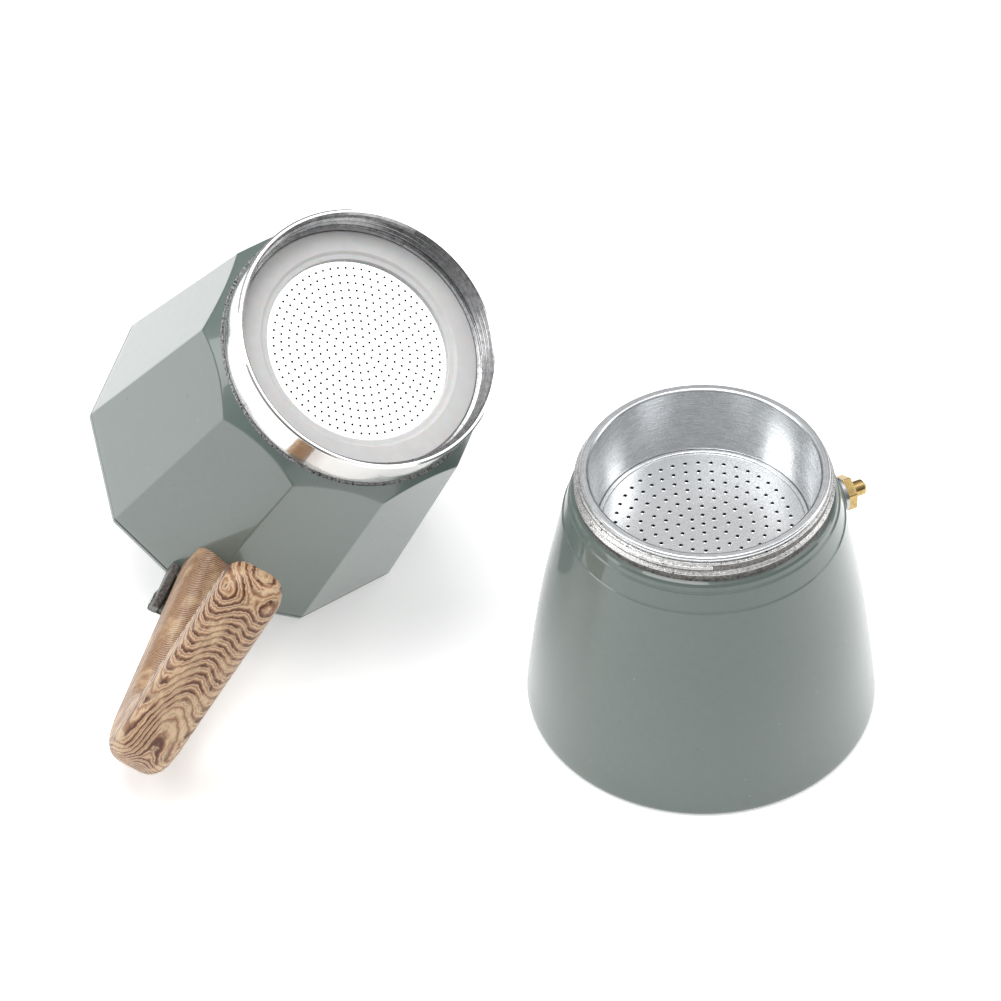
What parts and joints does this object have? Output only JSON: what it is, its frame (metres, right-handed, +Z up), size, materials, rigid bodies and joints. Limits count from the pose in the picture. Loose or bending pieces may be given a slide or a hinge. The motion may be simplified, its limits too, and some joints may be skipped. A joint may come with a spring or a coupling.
{
  "type": "moka pot",
  "caption": "Stovetop moka pot taken apart: bell-shaped boiler with its coffee funnel, and a faceted collector with a side handle lying upside down on its lid.",
  "frame": {"origin": "centre of the boiler's flat base, on the surface that it stands on", "axes": "+Z up along the boiler's axis, +X to the right and +Y away from the front, with the collector lying on the -X side"},
  "size_m": [0.243, 0.195, 0.1375],
  "materials": {
    "paint": "glossy sage grey-green enamel over cast aluminium",
    "aluminium": "brushed and polished",
    "brass": "polished",
    "steel": "bright",
    "silicone": "translucent white, satin",
    "wood_look": "wood-grain print, semi-gloss"
  },
  "bodies": {
    "boiler": {"boiler_shell": "paint", "valve_body": "brass", "valve_washer": "steel", "valve_retainer": "brass", "valve_spring": "steel"},
    "valve_pin": {"valve_pin": "brass"},
    "funnel": {"funnel_basket": "aluminium", "funnel_stem": "aluminium", "funnel_disc": "aluminium"},
    "collector": {"collector_shell": "paint", "screw_collar": "aluminium", "riser_column": "aluminium", "handle": "wood_look", "handle_screw": "steel", "hinge_pin": "steel"},
    "lid": {"lid": "paint", "lid_knob": "wood_look", "knob_screw": "steel", "knob_washer": "steel"},
    "gasket": {"gasket": "silicone"},
    "filter": {"filter_plate": "aluminium"}
  },
  "joints": [
    {"name": "collector_carry", "type": "hinge", "parent": "boiler", "child": "collector", "pos_m": [-0.05558, 0.01447, 0.08363], "axis": [0.4022, 0.9089, 0.11], "range_deg": [0, 148.22]},
    {"name": "lid_hinge", "type": "hinge", "parent": "collector", "child": "lid", "pos_m": [-0.15981, 0.02221, 0.01514], "axis": [-0.8444, 0.1958, 0.4987], "range_deg": [0, 110]},
    {"name": "funnel_lift", "type": "slide", "parent": "boiler", "child": "funnel", "axis": [0, 0, -1], "range_m": [-0.075, 0]},
    {"name": "gasket_pull", "type": "slide", "parent": "collector", "child": "gasket", "axis": [-0.3968, 0.3968, -0.8277], "range_m": [-0.03, 0]},
    {"name": "filter_pull", "type": "slide", "parent": "collector", "child": "filter", "axis": [-0.3968, 0.3968, -0.8277], "range_m": [-0.015, 0]},
    {"name": "valve_pop", "type": "slide", "parent": "boiler", "child": "valve_pin", "axis": [0.9143, 0.4051, 0], "range_m": [0, 0.0012], "stiffness_N_per_m": 500, "deforming": ["valve_spring"]}
  ],
  "couplings": [
    {"joint": "filter_pull", "follows": "gasket_pull", "ratio": 0.5}
  ]
}
